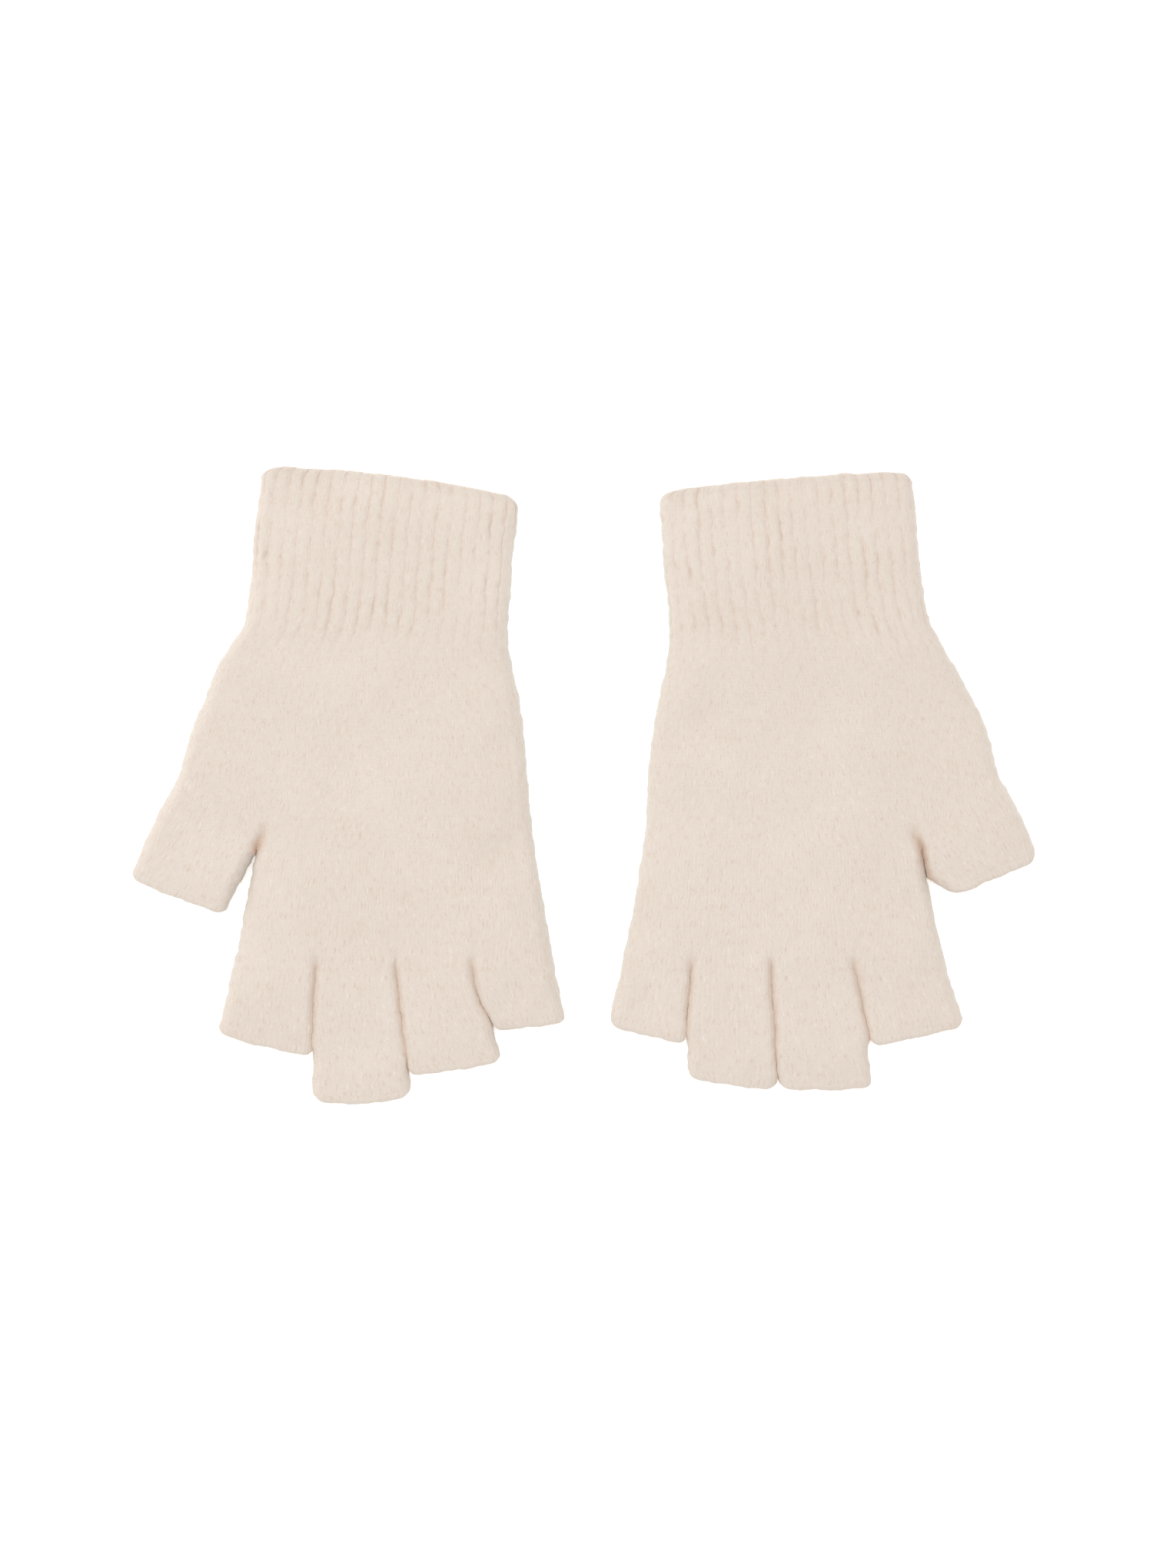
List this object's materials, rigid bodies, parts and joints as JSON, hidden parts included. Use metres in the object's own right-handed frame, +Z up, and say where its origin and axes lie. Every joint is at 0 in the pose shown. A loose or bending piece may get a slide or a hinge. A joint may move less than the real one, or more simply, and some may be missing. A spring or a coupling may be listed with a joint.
{
  "type": "fingerless gloves",
  "caption": "Pair of soft knitted fingerless gloves lying flat, with ribbed cuffs, open finger and thumb tubes and finished edges.",
  "frame": {"origin": "middle of the pair's footprint, on the surface that the gloves lie on", "axes": "+X from the left glove to the right one, +Y from the finger openings to the cuffs, +Z up out of the surface"},
  "size_m": [0.2554, 0.1786, 0.0105],
  "materials": {
    "plain_knit": "brushed plain knit with a soft nap",
    "rib_knit": "ribbed knit with a soft nap",
    "welt": "rolled knitted edge",
    "elastic": "thin covered elastic yarn"
  },
  "bodies": {
    "left_hand": {"left_lower_palm": "plain_knit", "left_upper_palm": "plain_knit"},
    "left_cuff": {"left_cuff": "rib_knit", "left_cuff_welt": "welt", "left_cuff_elastic_lower": "elastic", "left_cuff_elastic_upper": "elastic"},
    "left_thumb": {"left_thumb": "plain_knit", "left_thumb_welt": "welt"},
    "left_index_finger": {"left_index_finger": "plain_knit", "left_index_finger_welt": "welt"},
    "left_middle_finger": {"left_middle_finger": "plain_knit", "left_middle_finger_welt": "welt"},
    "left_ring_finger": {"left_ring_finger": "plain_knit", "left_ring_finger_welt": "welt"},
    "left_little_finger": {"left_little_finger": "plain_knit", "left_little_finger_welt": "welt"},
    "right_hand": {"right_lower_palm": "plain_knit", "right_upper_palm": "plain_knit"},
    "right_cuff": {"right_cuff": "rib_knit", "right_cuff_welt": "welt", "right_cuff_elastic_lower": "elastic", "right_cuff_elastic_upper": "elastic"},
    "right_thumb": {"right_thumb": "plain_knit", "right_thumb_welt": "welt"},
    "right_index_finger": {"right_index_finger": "plain_knit", "right_index_finger_welt": "welt"},
    "right_middle_finger": {"right_middle_finger": "plain_knit", "right_middle_finger_welt": "welt"},
    "right_ring_finger": {"right_ring_finger": "plain_knit", "right_ring_finger_welt": "welt"},
    "right_little_finger": {"right_little_finger": "plain_knit", "right_little_finger_welt": "welt"}
  },
  "joints": [
    {"name": "right_glove_slide", "type": "slide", "parent": "left_hand", "child": "right_hand", "axis": [1, 0, 0], "range_m": [0, 0.12]},
    {"name": "left_wrist_bend", "type": "hinge", "parent": "left_hand", "child": "left_cuff", "pos_m": [-0.06004, 0.03889, 0.0105], "axis": [1, 0, 0], "range_deg": [0, 75]},
    {"name": "left_thumb_bend", "type": "hinge", "parent": "left_hand", "child": "left_thumb", "pos_m": [-0.10263, -0.00659, 0.0105], "axis": [-0.682, 0.7314, 0], "range_deg": [0, 75]},
    {"name": "left_index_bend", "type": "hinge", "parent": "left_hand", "child": "left_index_finger", "pos_m": [-0.08689, -0.05111, 0.0105], "axis": [-1, 0, 0], "range_deg": [0, 90]},
    {"name": "left_middle_bend", "type": "hinge", "parent": "left_hand", "child": "left_middle_finger", "pos_m": [-0.06399, -0.05111, 0.0105], "axis": [-1, 0, 0], "range_deg": [0, 90]},
    {"name": "left_ring_bend", "type": "hinge", "parent": "left_hand", "child": "left_ring_finger", "pos_m": [-0.04199, -0.05111, 0.0105], "axis": [-1, 0, 0], "range_deg": [0, 90]},
    {"name": "left_little_bend", "type": "hinge", "parent": "left_hand", "child": "left_little_finger", "pos_m": [-0.01969, -0.05111, 0.0105], "axis": [-1, 0, 0], "range_deg": [0, 90]},
    {"name": "right_wrist_bend", "type": "hinge", "parent": "right_hand", "child": "right_cuff", "pos_m": [0.06286, 0.03889, 0.0105], "axis": [1, 0, 0], "range_deg": [0, 75]},
    {"name": "right_thumb_bend", "type": "hinge", "parent": "right_hand", "child": "right_thumb", "pos_m": [0.10545, -0.00659, 0.0105], "axis": [-0.682, -0.7314, 0], "range_deg": [0, 75]},
    {"name": "right_index_bend", "type": "hinge", "parent": "right_hand", "child": "right_index_finger", "pos_m": [0.08891, -0.05111, 0.0105], "axis": [-1, 0, 0], "range_deg": [0, 90]},
    {"name": "right_middle_bend", "type": "hinge", "parent": "right_hand", "child": "right_middle_finger", "pos_m": [0.06421, -0.05111, 0.0105], "axis": [-1, 0, 0], "range_deg": [0, 90]},
    {"name": "right_ring_bend", "type": "hinge", "parent": "right_hand", "child": "right_ring_finger", "pos_m": [0.04131, -0.05111, 0.0105], "axis": [-1, 0, 0], "range_deg": [0, 90]},
    {"name": "right_little_bend", "type": "hinge", "parent": "right_hand", "child": "right_little_finger", "pos_m": [0.02031, -0.05111, 0.0105], "axis": [-1, 0, 0], "range_deg": [0, 90]}
  ]
}
